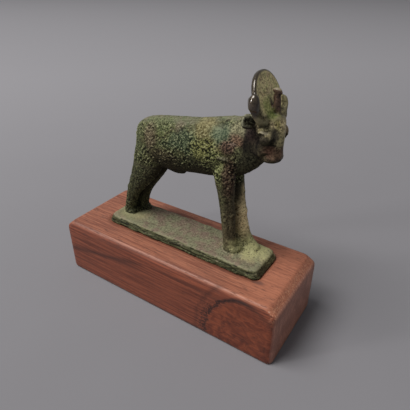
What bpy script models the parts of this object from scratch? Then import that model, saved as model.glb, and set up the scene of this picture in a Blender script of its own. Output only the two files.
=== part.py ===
"""Apis bull: a small cast bronze of a striding bull on its own plinth, let into a wooden base.

Metres, +Z up. The bull walks toward +X. The origin is the centre of the underside of the wooden base.
Tables of sizes are in millimetres and are turned into metres by MM.
"""

import math

import bmesh
import bpy
from mathutils import Matrix, Vector

MM = 0.001

# How finely the round forms are divided
TUBE_SIDES = 8
BODY_SIDES = 12
THIN_SIDES = 6
SUBDIVISION_LEVELS = 1
BALL_SEGMENTS = 12
BALL_RINGS = 8
DISC_SEGMENTS = 40
CORNER_SEGMENTS = 4
EDGE_SEGMENTS = 2
SHARP_ANGLE = math.radians(40)

# Wooden base
BASE_LENGTH = 110 * MM
BASE_WIDTH = 40.5 * MM
BASE_HEIGHT = 27.6 * MM
BASE_CORNER = 2.1 * MM
TOP_BEVEL_DROP = 3.0 * MM
TOP_BEVEL_ENDS = 3.6 * MM
TOP_BEVEL_SIDES = 1.2 * MM
BASE_EDGE_RADIUS = 0.6 * MM
RECESS_DEPTH = 1.0 * MM
RECESS_MARGIN = 0.7 * MM

# Bronze plinth, cast in one with the bull
PLINTH_LENGTH = 80 * MM
PLINTH_WIDTH = 19.6 * MM
PLINTH_HEIGHT = 3.9 * MM
PLINTH_TAPER_ENDS = 2.0 * MM
PLINTH_TAPER_SIDES = 1.0 * MM
PLINTH_CORNER = 3.0 * MM
PLINTH_EDGE_RADIUS = 0.7 * MM
PLINTH_CENTRE_X = 1.5 * MM
PLINTH_CENTRE_Y = 1.2 * MM

# The bull stands on the plinth, a little off its middle line
SEAT_GAP = 0.3 * MM
PLINTH_FOOT = BASE_HEIGHT - RECESS_DEPTH + SEAT_GAP
GROUND = PLINTH_FOOT + PLINTH_HEIGHT
BULL_Y = 3.0 * MM

# Head: where it turns on the neck, and how far
HEAD_PIVOT = Vector((33.5, 0, 52)) * MM
HEAD_TURN = math.radians(-6)
HEAD_ROLL = math.radians(-4)

# Sun disc between the horns
DISC_RADIUS = 9.2 * MM
DISC_THICKNESS = 1.9 * MM
DISC_EDGE_RADIUS = 0.6 * MM
DISC_CENTRE = Vector((33.9, -0.8, 63.9)) * MM
DISC_LEAN = math.radians(-23)
DISC_TURN = math.radians(5)

LATERAL = Vector((0, 1, 0))
FORWARD = Vector((1, 0, 0))

# Stations along each limb: x, y, z, half width across, half depth, with z above the plinth's top
TORSO = [
    (-22.6, 0, 36.2, 4.4, 7.2),
    (-20.0, 0, 37.0, 5.9, 9.6),
    (-15.0, 0, 37.9, 6.8, 11.2),
    (-8.0, 0, 38.9, 7.1, 11.4),
    (0.0, 0, 39.8, 7.2, 11.5),
    (8.0, 0, 40.9, 7.2, 11.5),
    (15.0, 0, 41.9, 7.2, 11.5),
    (20.5, 0, 42.4, 6.6, 11.7),
    (25.0, 0, 41.8, 5.0, 10.2),
]
NECK = [
    (15.0, 0, 41.5, 6.2, 10.4),
    (22.0, 0, 43.4, 5.9, 11.3),
    (27.0, 0, 46.6, 5.1, 10.3),
    (31.5, 0, 50.0, 4.6, 8.4),
    (35.0, 0, 51.8, 4.2, 6.6),
]
HEAD = [
    (34.8, 0, 58.7, 5.0, 4.2),
    (35.0, 0, 57.4, 6.3, 5.4),
    (35.8, 0, 53.8, 5.6, 5.5),
    (36.4, 0, 50.4, 4.6, 5.0),
    (37.0, 0, 47.2, 3.6, 4.2),
    (37.8, 0, 44.4, 3.9, 4.2),
    (38.0, 0, 42.0, 3.4, 3.6),
]
FORELEG_RIGHT = [
    (18.4, -2.6, 42.0, 3.6, 6.0),
    (20.4, -3.1, 33.0, 3.8, 4.6),
    (21.2, -3.2, 26.0, 3.2, 3.4),
    (22.2, -3.1, 18.0, 2.8, 3.0),
    (22.9, -3.0, 11.0, 2.8, 3.0),
    (23.5, -3.0, 5.0, 2.6, 2.8),
    (24.2, -3.0, 1.8, 2.8, 3.2),
    (24.6, -3.0, -0.8, 3.0, 3.6),
]
FORELEG_LEFT = [
    (18.5, 2.6, 42.0, 3.6, 6.0),
    (20.4, 3.1, 33.0, 3.8, 5.0),
    (21.8, 3.2, 25.0, 3.3, 3.9),
    (23.4, 3.1, 17.0, 2.9, 3.7),
    (24.8, 3.1, 10.0, 2.9, 3.6),
    (26.4, 3.1, 5.0, 2.8, 3.5),
    (28.2, 3.2, 1.8, 2.9, 4.2),
    (29.2, 3.2, -0.8, 3.2, 4.8),
]
HINDLEG_RIGHT = [
    (-15.0, -2.4, 38.0, 4.2, 8.8),
    (-17.2, -2.8, 30.5, 4.0, 8.0),
    (-20.6, -3.0, 23.5, 3.6, 6.2),
    (-24.6, -3.0, 17.5, 3.2, 4.3),
    (-28.0, -3.0, 12.0, 2.9, 3.2),
    (-29.6, -3.0, 7.0, 2.6, 2.7),
    (-31.0, -2.9, 2.0, 2.5, 2.8),
    (-31.8, -2.9, -0.8, 2.7, 3.2),
]
HINDLEG_LEFT = [
    (-14.8, 2.4, 38.0, 4.2, 8.8),
    (-16.4, 2.8, 30.5, 4.0, 7.6),
    (-19.4, 3.0, 23.5, 3.6, 5.6),
    (-22.8, 3.0, 17.5, 3.2, 4.2),
    (-25.6, 3.0, 12.0, 2.8, 3.2),
    (-27.2, 3.0, 7.0, 2.5, 2.7),
    (-28.0, 2.9, 2.0, 2.5, 2.8),
    (-28.4, 2.9, -0.8, 2.7, 3.2),
]
TAIL = [
    (-21.8, 0, 43.5, 1.3, 1.5),
    (-24.6, 0, 39.0, 1.3, 1.5),
    (-25.6, 0, 31.0, 1.3, 1.5),
    (-26.8, 0, 22.0, 1.3, 1.5),
    (-29.8, 0, 13.0, 1.4, 1.5),
    (-31.8, 0, 6.0, 1.6, 1.7),
    (-32.6, 0, -0.8, 1.4, 1.6),
]
SHEATH = [
    (-12.0, 0, 29.0, 1.8, 2.0),
    (-7.0, 0, 28.0, 1.8, 2.0),
    (-2.5, 0, 27.6, 1.5, 1.8),
    (0.5, 0, 28.4, 1.0, 1.2),
]
EAR = [
    (32.4, 3.4, 56.0, 1.2, 1.8),
    (31.6, 5.6, 56.2, 1.3, 2.7),
    (30.7, 7.8, 56.6, 1.2, 2.8),
    (30.1, 9.4, 57.0, 0.8, 2.0),
]
URAEUS = [
    (38.4, 0, 57.0, 0.9, 0.9),
    (37.8, 0, 60.5, 0.9, 1.1),
    (37.1, 0, 63.8, 0.9, 1.3),
    (36.5, 0, 66.4, 1.3, 1.5),
]
BROW_PLACE = Vector((37.5, 5.1, 52.3)) * MM
BROW_RADII = Vector((2.6, 1.8, 3.0)) * MM

# The horns lean as the disc does and curve up round its rim
HORN_ARC_RADIUS = 8.8
HORN_ARC_OUT = 0.8
HORN_FORWARD = 0.0
HORN_RADIUS_BASE = 1.9
HORN_RADIUS_TIP = 1.4
HORN_START = math.radians(-66)
HORN_END = {"left": math.radians(0), "right": math.radians(13)}
HORN_STATIONS = 6


def clear_scene():
    for item in list(bpy.data.objects):
        bpy.data.objects.remove(item, do_unlink=True)


def new_collection(name):
    collection = bpy.data.collections.new(name)
    bpy.context.scene.collection.children.link(collection)
    return collection


def new_material(name, colour, roughness, metallic):
    material = bpy.data.materials.new(name)
    material.use_nodes = True
    shader = material.node_tree.nodes["Principled BSDF"]
    shader.inputs["Base Color"].default_value = (*colour, 1)
    shader.inputs["Roughness"].default_value = roughness
    shader.inputs["Metallic"].default_value = metallic
    material.diffuse_color = (*colour, 1)
    return material


def add_object(name, mesh, collection):
    item = bpy.data.objects.new(name, mesh)
    collection.objects.link(item)
    return item


def hide_worker(item):
    item.hide_render = True
    item.display_type = "WIRE"


def mesh_from(bm, name):
    bmesh.ops.recalc_face_normals(bm, faces=bm.faces)
    mesh = bpy.data.meshes.new(name)
    bm.to_mesh(mesh)
    bm.free()
    return mesh


def add_subdivision(item):
    modifier = item.modifiers.new("soft form", "SUBSURF")
    modifier.levels = SUBDIVISION_LEVELS
    modifier.render_levels = SUBDIVISION_LEVELS


def loft(name, stations, collection, place, across=LATERAL, sides=TUBE_SIDES, mirror_y=False):
    """A closed soft tube through elliptical stations, each square to the line of the limb."""
    swell = 4 / (3 + math.cos(2 * math.pi / sides))
    side_sign = -1 if mirror_y else 1
    centres = [Vector((x, y * side_sign, z)) * MM for x, y, z, _, _ in stations]
    last = len(stations) - 1
    bm = bmesh.new()
    rings = []
    for index, (_, _, _, half_width, half_depth) in enumerate(stations):
        along = (centres[min(index + 1, last)] - centres[max(index - 1, 0)]).normalized()
        wide = (across - along * across.dot(along)).normalized()
        deep = along.cross(wide)
        ring = []
        for step in range(sides):
            angle = 2 * math.pi * (step + 0.5) / sides
            offset = wide * math.cos(angle) * half_width + deep * math.sin(angle) * half_depth
            ring.append(bm.verts.new(centres[index] + offset * swell * MM))
        rings.append(ring)
    for lower, upper in zip(rings, rings[1:]):
        for step in range(sides):
            after = (step + 1) % sides
            bm.faces.new((lower[step], lower[after], upper[after], upper[step]))
    bm.faces.new(rings[0][::-1])
    bm.faces.new(rings[-1])
    item = add_object(name, mesh_from(bm, name), collection)
    item.matrix_world = place
    add_subdivision(item)
    hide_worker(item)
    return item


def ellipsoid(name, centre, radii, collection, place):
    bm = bmesh.new()
    bmesh.ops.create_uvsphere(bm, u_segments=BALL_SEGMENTS, v_segments=BALL_RINGS, radius=1)
    bmesh.ops.transform(bm, matrix=Matrix.Translation(centre) @ Matrix.Diagonal((*radii, 1)), verts=bm.verts)
    item = add_object(name, mesh_from(bm, name), collection)
    item.matrix_world = place
    hide_worker(item)
    return item


def rounded_slab(name, length, width, height, corner, taper_ends, taper_sides, collection):
    """A slab on z 0 whose upright corners are round and whose sides lean in toward the top."""
    bm = bmesh.new()
    bmesh.ops.create_cube(bm, size=1, matrix=Matrix.Diagonal((length, width, height, 1)))
    upright = [edge for edge in bm.edges if abs(edge.verts[0].co.z - edge.verts[1].co.z) > height / 2]
    bmesh.ops.bevel(bm, geom=upright, offset=corner, segments=CORNER_SEGMENTS, profile=0.5, affect="EDGES")
    for vert in bm.verts:
        if vert.co.z > 0:
            vert.co.x *= 1 - 2 * taper_ends / length
            vert.co.y *= 1 - 2 * taper_sides / width
    bmesh.ops.translate(bm, vec=(0, 0, height / 2), verts=bm.verts)
    return add_object(name, mesh_from(bm, name), collection)


def add_bevel(item, width):
    modifier = item.modifiers.new("worn edges", "BEVEL")
    modifier.width = width
    modifier.segments = EDGE_SEGMENTS
    modifier.limit_method = "ANGLE"
    modifier.angle_limit = SHARP_ANGLE


def crown_place(head, turn):
    """The disc's centre, with Z leaning back up along the disc and X square to it but for the turn."""
    sideways = Matrix.Rotation(turn, 4, "Z")
    lean = Matrix.Rotation(DISC_LEAN, 4, "Y")
    return head @ Matrix.Translation(DISC_CENTRE) @ sideways @ lean


def horn_stations(side):
    """Stations round the disc's centre, thickest at the root and ending about level with the centre."""
    stations = []
    for index in range(HORN_STATIONS):
        share = index / (HORN_STATIONS - 1)
        angle = HORN_START + (HORN_END[side] - HORN_START) * share
        radius = HORN_RADIUS_BASE + (HORN_RADIUS_TIP - HORN_RADIUS_BASE) * share
        out = HORN_ARC_OUT + HORN_ARC_RADIUS * math.cos(angle)
        height = HORN_ARC_RADIUS * math.sin(angle)
        stations.append((HORN_FORWARD, out, height, radius, radius))
    return stations


def build_disc(collection, place):
    bm = bmesh.new()
    bmesh.ops.create_cone(
        bm, cap_ends=True, segments=DISC_SEGMENTS, radius1=DISC_RADIUS, radius2=DISC_RADIUS, depth=DISC_THICKNESS
    )
    rims = [edge for edge in bm.edges if abs(edge.verts[0].co.z - edge.verts[1].co.z) < DISC_THICKNESS / 2]
    bmesh.ops.bevel(
        bm, geom=rims, offset=DISC_EDGE_RADIUS, segments=EDGE_SEGMENTS, profile=0.5, affect="EDGES"
    )
    item = add_object("sun disc", mesh_from(bm, "sun disc"), collection)
    item.matrix_world = place @ Matrix.Rotation(math.pi / 2, 4, "Y")
    hide_worker(item)
    return item


def build_bull(parts, workers):
    body = Matrix.Translation((0, BULL_Y, GROUND))
    to_pivot = Matrix.Translation(HEAD_PIVOT)
    turn = Matrix.Rotation(HEAD_TURN, 4, "Z") @ Matrix.Rotation(HEAD_ROLL, 4, "X")
    head = body @ to_pivot @ turn @ to_pivot.inverted()
    disc = crown_place(head, DISC_TURN)
    horns = crown_place(head, 0)

    loft("neck", NECK, workers, body, sides=BODY_SIDES)
    loft("foreleg right", FORELEG_RIGHT, workers, body)
    loft("foreleg left", FORELEG_LEFT, workers, body)
    loft("hindleg right", HINDLEG_RIGHT, workers, body)
    loft("hindleg left", HINDLEG_LEFT, workers, body)
    loft("tail", TAIL, workers, body, sides=THIN_SIDES)
    loft("sheath", SHEATH, workers, body, sides=THIN_SIDES)
    loft("head", HEAD, workers, head, sides=BODY_SIDES)
    loft("uraeus", URAEUS, workers, head, sides=THIN_SIDES)
    for side, mirrored in (("left", False), ("right", True)):
        loft(f"ear {side}", EAR, workers, head, across=FORWARD, mirror_y=mirrored)
        loft(f"horn {side}", horn_stations(side), workers, horns, across=FORWARD, mirror_y=mirrored)
        brow = Vector((BROW_PLACE.x, BROW_PLACE.y * (-1 if mirrored else 1), BROW_PLACE.z))
        ellipsoid(f"brow {side}", brow, BROW_RADII, workers, head)
    build_disc(workers, disc)
    plinth = rounded_slab(
        "plinth", PLINTH_LENGTH, PLINTH_WIDTH, PLINTH_HEIGHT, PLINTH_CORNER,
        PLINTH_TAPER_ENDS, PLINTH_TAPER_SIDES, workers,
    )
    plinth.location = (PLINTH_CENTRE_X, PLINTH_CENTRE_Y, PLINTH_FOOT)
    add_bevel(plinth, PLINTH_EDGE_RADIUS)
    hide_worker(plinth)

    bull = loft("apis_bull", TORSO, parts, body, sides=BODY_SIDES)
    bull.hide_render = False
    bull.display_type = "TEXTURED"
    cast = bull.modifiers.new("cast as one", "BOOLEAN")
    cast.operation = "UNION"
    cast.operand_type = "COLLECTION"
    cast.collection = workers
    cast.solver = "EXACT"
    bull.data.materials.append(new_material("patinated bronze", (0.11, 0.13, 0.06), 0.6, 0.35))
    return bull


def build_base(parts, cutters):
    base = rounded_slab(
        "wooden_base", BASE_LENGTH, BASE_WIDTH, BASE_HEIGHT - TOP_BEVEL_DROP, BASE_CORNER, 0, 0, parts
    )
    bm = bmesh.new()
    bm.from_mesh(base.data)
    top = max(bm.faces, key=lambda face: face.calc_center_median().z)
    raised = bmesh.ops.extrude_face_region(bm, geom=[top])["geom"]
    for vert in (part for part in raised if isinstance(part, bmesh.types.BMVert)):
        vert.co.x *= 1 - 2 * TOP_BEVEL_ENDS / BASE_LENGTH
        vert.co.y *= 1 - 2 * TOP_BEVEL_SIDES / BASE_WIDTH
        vert.co.z = BASE_HEIGHT
    bmesh.ops.delete(bm, geom=[top], context="FACES_ONLY")
    bmesh.ops.recalc_face_normals(bm, faces=bm.faces)
    bm.to_mesh(base.data)
    bm.free()
    recess = rounded_slab(
        "recess", PLINTH_LENGTH + 2 * RECESS_MARGIN, PLINTH_WIDTH + 2 * RECESS_MARGIN, 2 * RECESS_DEPTH,
        PLINTH_CORNER + RECESS_MARGIN, 0, 0, cutters,
    )
    recess.location = (PLINTH_CENTRE_X, PLINTH_CENTRE_Y, BASE_HEIGHT - RECESS_DEPTH)
    hide_worker(recess)
    add_bevel(base, BASE_EDGE_RADIUS)
    cut = base.modifiers.new("recess for the plinth", "BOOLEAN")
    cut.operation = "DIFFERENCE"
    cut.object = recess
    cut.solver = "EXACT"
    base.data.materials.append(new_material("polished rosewood", (0.30, 0.11, 0.07), 0.4, 0.0))
    return base


def main():
    clear_scene()
    parts = new_collection("apis bull figure")
    workers = new_collection("pieces cast into the bull")
    cutters = new_collection("cutters")
    build_bull(parts, workers)
    build_base(parts, cutters)


main()
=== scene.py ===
"""Apis bull: the finish of a small cast bronze of a striding bull on a block of polished rosewood.

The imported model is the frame. Lengths here are in millimetres and MM turns them into metres.
Places on the bull are counted from the plinth's top, below the middle of the bull.
"""

import math

import bmesh
import bpy
import numpy as np
from bpy.props import FloatProperty, FloatVectorProperty, IntProperty, PointerProperty
from mathutils import Matrix, Vector, noise


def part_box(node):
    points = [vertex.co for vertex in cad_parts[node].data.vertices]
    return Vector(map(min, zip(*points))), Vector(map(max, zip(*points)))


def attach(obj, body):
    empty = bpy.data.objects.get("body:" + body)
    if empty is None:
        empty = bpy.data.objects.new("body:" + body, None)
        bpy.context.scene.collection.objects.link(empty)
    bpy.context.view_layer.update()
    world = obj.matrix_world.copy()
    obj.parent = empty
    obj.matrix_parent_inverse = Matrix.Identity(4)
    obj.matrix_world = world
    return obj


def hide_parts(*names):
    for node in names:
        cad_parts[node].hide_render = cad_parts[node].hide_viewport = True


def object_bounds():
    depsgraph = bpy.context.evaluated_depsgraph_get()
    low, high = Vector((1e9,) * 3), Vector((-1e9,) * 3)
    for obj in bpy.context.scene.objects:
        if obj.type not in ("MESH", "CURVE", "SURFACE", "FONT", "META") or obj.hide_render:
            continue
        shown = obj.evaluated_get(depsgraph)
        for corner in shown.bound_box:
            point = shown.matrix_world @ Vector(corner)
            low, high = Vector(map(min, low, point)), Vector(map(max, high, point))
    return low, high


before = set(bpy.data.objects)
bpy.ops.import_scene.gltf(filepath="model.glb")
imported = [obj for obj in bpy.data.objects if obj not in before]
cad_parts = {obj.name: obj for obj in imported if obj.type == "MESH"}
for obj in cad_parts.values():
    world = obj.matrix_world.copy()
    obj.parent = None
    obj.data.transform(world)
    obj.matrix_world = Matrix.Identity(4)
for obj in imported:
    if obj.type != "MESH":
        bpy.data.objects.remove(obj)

bl_info = {
    "name": "Apis Bull",
    "version": (1, 0, 0),
    "blender": (4, 5, 0),
    "location": "View3D > Sidebar > Apis Bull",
    "description": "Builds a patinated bronze bull with its plinth on a rosewood block",
    "category": "Add Mesh",
}

MM = 0.001
MERGE_DISTANCE = 1e-6
GRAIN_SEED = 7

CAD_LOW, CAD_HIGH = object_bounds()
BULL_LOW, BULL_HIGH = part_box("apis_bull")
BASE_LOW, BASE_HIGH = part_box("wooden_base")

# The bull on its plinth
PLINTH_HEIGHT = 3.9
BULL_MIDDLE_Y = 3.0
GROUND_Z = BULL_LOW.z / MM + PLINTH_HEIGHT
BODY_PLACE = Matrix.Translation((0, BULL_MIDDLE_Y, GROUND_Z))

# The head turns and tips a little on the neck
HEAD_PIVOT = Vector((33.5, 0, 52))
HEAD_TURN = math.radians(-6)
HEAD_ROLL = math.radians(-4)
HEAD_PLACE = (
    BODY_PLACE
    @ Matrix.Translation(HEAD_PIVOT)
    @ Matrix.Rotation(HEAD_TURN, 4, "Z")
    @ Matrix.Rotation(HEAD_ROLL, 4, "X")
    @ Matrix.Translation(-HEAD_PIVOT)
)

# The disc leans back and is turned a little on the head
DISC_CENTRE = Vector((33.9, -0.8, 63.9))
DISC_LEAN = math.radians(-23)
DISC_TURN = math.radians(5)
DISC_RADIUS = 9.2
DISC_HALF_THICKNESS = 0.95
DISC_PLACE = (
    HEAD_PLACE
    @ Matrix.Translation(DISC_CENTRE)
    @ Matrix.Rotation(DISC_TURN, 4, "Z")
    @ Matrix.Rotation(DISC_LEAN, 4, "Y")
)

# The camera, worked out from the edges of the block and given as shares of its length
BLOCK_LENGTH = (BASE_HIGH.x - BASE_LOW.x) / MM
CAMERA_AZIMUTH = math.radians(37.04)
CAMERA_ELEVATION = math.radians(38.8)
CAMERA_DISTANCE = 1.715
CAMERA_TARGET_HEIGHT = 0.12
CAMERA_PAN = math.radians(3.24)
CAMERA_TILT = math.radians(7.98)
CAMERA_ROLL = math.radians(0.35)
PHOTO_SIZE = 410
FOCAL_PIXELS = 399.7
SENSOR = 36.0


def colour_choice(name, description, default):
    return FloatVectorProperty(name=name, description=description, default=default, subtype="COLOR")


def length_choice(name, description, default, least=0.0):
    """A length, given in millimetres."""
    return FloatProperty(
        name=name, description=description, default=default * MM, min=least * MM, unit="LENGTH"
    )


class BullSettings(bpy.types.PropertyGroup):
    """Sizes and colours of the bronze."""

    voxel: length_choice("Surface grain", "Edge length of the fine surface of the bronze", 0.376, 0.3)
    facet_rounds: IntProperty(
        name="Smoothing rounds", description="Rounds of smoothing that melt the solid's facets", default=34
    )
    crust_height: length_choice("Crust height", "Height of the corrosion grains on the flank", 0.46)
    grain_size: length_choice("Grain size", "Width of the largest corrosion grains", 0.74)
    olive: colour_choice("Olive patina", "Main colour of the crust", (0.066, 0.068, 0.024))
    pit: colour_choice("Pits", "Near-black colour between the grains", (0.016, 0.015, 0.006))
    crest: colour_choice("Crests", "Pale yellow-green of the highest grains", (0.19, 0.2, 0.08))
    back: colour_choice("Back", "Smooth grey-green of the upward surfaces", (0.18, 0.182, 0.116))
    bronze: colour_choice("Bare bronze", "Dark brown metal of the horns and the rim", (0.03, 0.02, 0.014))
    bloom: colour_choice("Yellow bloom", "Pale yellow-green bloom round the feet", (0.41, 0.395, 0.195))


class BaseSettings(bpy.types.PropertyGroup):
    """Sizes and colours of the wooden block."""

    voxel: length_choice("Surface grain", "Edge length of the fine surface of the block", 0.55, 0.4)
    soften_rounds: IntProperty(
        name="Edge softening", description="Rounds of smoothing that round the block's edges", default=9
    )
    light_wood: colour_choice("Light wood", "Colour between the grain lines", (0.35, 0.135, 0.082))
    dark_wood: colour_choice("Dark wood", "Colour of the grain lines", (0.16, 0.052, 0.034))
    figure_line: colour_choice("Figure lines", "Nearly black lines of the arches", (0.022, 0.01, 0.009))


class StageSettings(bpy.types.PropertyGroup):
    """The floor and the light."""

    floor_colour: colour_choice("Floor", "Colour of the plain floor", (0.215, 0.211, 0.23))
    key_power: FloatProperty(
        name="Key light", description="Power of the main soft light", default=115.0, unit="POWER"
    )
    rim_power: FloatProperty(
        name="Rim light", description="Power of the small light on the rims", default=1.6, unit="POWER"
    )
    fill_strength: FloatProperty(
        name="Fill", description="Strength of the even light all round", default=0.21
    )


# Shader tools


class Socket:
    """A node socket holding a number, so that shader maths reads as Python."""

    def __init__(self, tree, socket):
        self.tree = tree
        self.socket = socket

    def _math(self, operation, first, second=None):
        inputs = {0: first} if second is None else {0: first, 1: second}
        return self.tree.node("ShaderNodeMath", {"operation": operation}, inputs)

    def __add__(self, other):
        return self._math("ADD", self, other)

    def __radd__(self, other):
        return self._math("ADD", other, self)

    def __sub__(self, other):
        return self._math("SUBTRACT", self, other)

    def __rsub__(self, other):
        return self._math("SUBTRACT", other, self)

    def __mul__(self, other):
        return self._math("MULTIPLY", self, other)

    def __truediv__(self, other):
        return self._math("DIVIDE", self, other)

    def __pow__(self, other):
        return self._math("POWER", self, other)

    def __abs__(self):
        return self._math("ABSOLUTE", self)

    def high(self, other):
        return self._math("MAXIMUM", self, other)

    def ramp(self, start, end):
        """0 at start, 1 at end, smooth between them and level beyond."""
        inputs = {"Value": self, "From Min": start, "From Max": end, "To Min": 0.0, "To Max": 1.0}
        settings = {"interpolation_type": "SMOOTHSTEP", "clamp": True}
        return self.tree.node("ShaderNodeMapRange", settings, inputs, "Result")

    def fall(self, start, end):
        """1 at start and 0 at end."""
        return 1 - self.ramp(start, end)


class Finish:
    """A material's node tree, with one method that makes any node."""

    def __init__(self, name):
        self.material = bpy.data.materials.new(name)
        self.material.use_nodes = True
        self.tree = self.material.node_tree
        self.shader = self.tree.nodes["Principled BSDF"]
        self.place = self.node("ShaderNodeTexCoord", {}, {}, "Object")
        self.colour = None

    def node(self, kind, settings, inputs, output=0):
        made = self.tree.nodes.new(kind)
        for key, value in settings.items():
            setattr(made, key, value)
        for key, value in inputs.items():
            self.feed(made.inputs[key], value)
        return Socket(self, made.outputs[output])

    def feed(self, socket, value):
        if isinstance(value, Socket):
            self.tree.links.new(value.socket, socket)
        else:
            socket.default_value = value

    def mix(self, amount, first, second):
        """A colour between two others."""
        inputs = {0: amount, 6: colour_of(first), 7: colour_of(second)}
        return self.node("ShaderNodeMix", {"data_type": "RGBA"}, inputs, 2)

    def lay(self, mask, shade):
        """Lays a colour over the finish where the mask is 1."""
        self.colour = self.mix(mask, self.colour, shade)

    def vector(self, operation, first, second=(0, 0, 0), output=0):
        return self.node("ShaderNodeVectorMath", {"operation": operation}, {0: first, 1: second}, output)

    def stretched(self, size):
        """Object coordinates in units of size millimetres along X, Y and Z."""
        return self.vector("MULTIPLY", self.place, tuple(1 / (length * MM) for length in size))

    def noise(self, size, detail=2.0, distortion=0.0, roughness=0.5, shift=(0, 0, 0)):
        vector = self.stretched(size)
        if any(shift):
            vector = self.vector("ADD", vector, shift)
        inputs = {"Vector": vector, "Scale": 1.0, "Detail": detail}
        inputs |= {"Roughness": roughness, "Distortion": distortion}
        return self.node("ShaderNodeTexNoise", {}, inputs, "Fac")

    def distance(self, centre, reach=(1, 1, 1)):
        """Distance from a place in millimetres, each axis counted in units of its reach."""
        offset = self.vector("SUBTRACT", self.place, tuple(value * MM for value in centre))
        away = self.vector("MULTIPLY", offset, tuple(1 / (value * MM) for value in reach))
        return self.vector("LENGTH", away, output="Value")

    def attribute(self, name):
        return self.node("ShaderNodeAttribute", {"attribute_name": name}, {}, "Fac")

    def axis(self, name):
        return self.node("ShaderNodeSeparateXYZ", {}, {"Vector": self.place}, name) / MM

    def bump(self, height, distance, strength=1.0):
        inputs = {"Height": height, "Distance": distance * MM, "Strength": strength}
        self.feed(self.shader.inputs["Normal"], self.node("ShaderNodeBump", {}, inputs, "Normal"))


def colour_of(value):
    return value if isinstance(value, Socket) else (*value, 1.0)


# Mesh tools


def merged_copy(node):
    """A mesh of a solid's surface with its loose triangles joined."""
    bm = bmesh.new()
    bm.from_mesh(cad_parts[node].data)
    bmesh.ops.remove_doubles(bm, verts=bm.verts, dist=MERGE_DISTANCE)
    return bm


def scaled(place):
    """A placement counted in millimetres, as one counted in metres."""
    return Matrix.Scale(MM, 4) @ place


def add_ball(bm, centre, radii, place):
    """An egg-shaped form, to be melted into the surface by the remesh."""
    matrix = scaled(place) @ Matrix.Translation(centre) @ Matrix.Diagonal((*radii, 1))
    bmesh.ops.create_icosphere(bm, subdivisions=3, radius=1, matrix=matrix)


def add_roll(bm, points, radius, place, steps=8):
    """A soft rod through a few points, made of close balls."""
    for first, second in zip(points, points[1:]):
        for step in range(steps):
            centre = Vector(first).lerp(Vector(second), step / (steps - 1))
            matrix = scaled(place) @ Matrix.Translation(centre) @ Matrix.Scale(radius, 4)
            bmesh.ops.create_icosphere(bm, subdivisions=2, radius=1, matrix=matrix)


def remeshed(bm, name, voxel):
    """Everything in bm as one closed skin of even quads."""
    mesh = bpy.data.meshes.new(name)
    bm.to_mesh(mesh)
    bm.free()
    piece = bpy.data.objects.new(name, mesh)
    bpy.context.scene.collection.objects.link(piece)
    remesh = piece.modifiers.new("fine skin", "REMESH")
    remesh.mode = "VOXEL"
    remesh.voxel_size = voxel
    evaluated = piece.evaluated_get(bpy.context.evaluated_depsgraph_get())
    fine = bpy.data.meshes.new_from_object(evaluated)
    piece.modifiers.clear()
    piece.data = fine
    bpy.data.meshes.remove(mesh)
    fine.name = name
    keep_largest_shell(fine)
    return piece


def keep_largest_shell(mesh):
    """Drops the stray bubbles that a voxel skin can leave where two forms meet."""
    bm = bmesh.new()
    bm.from_mesh(mesh)
    bm.verts.index_update()
    seen = bytearray(len(bm.verts))
    shells = []
    for start in bm.verts:
        if seen[start.index]:
            continue
        seen[start.index] = 1
        shell = [start]
        for vert in shell:
            for edge in vert.link_edges:
                other = edge.other_vert(vert)
                if not seen[other.index]:
                    seen[other.index] = 1
                    shell.append(other)
        shells.append(shell)
    shells.sort(key=len)
    stray = [vert for shell in shells[:-1] for vert in shell]
    if stray:
        bmesh.ops.delete(bm, geom=stray, context="VERTS")
        bm.to_mesh(mesh)
    bm.free()


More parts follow.
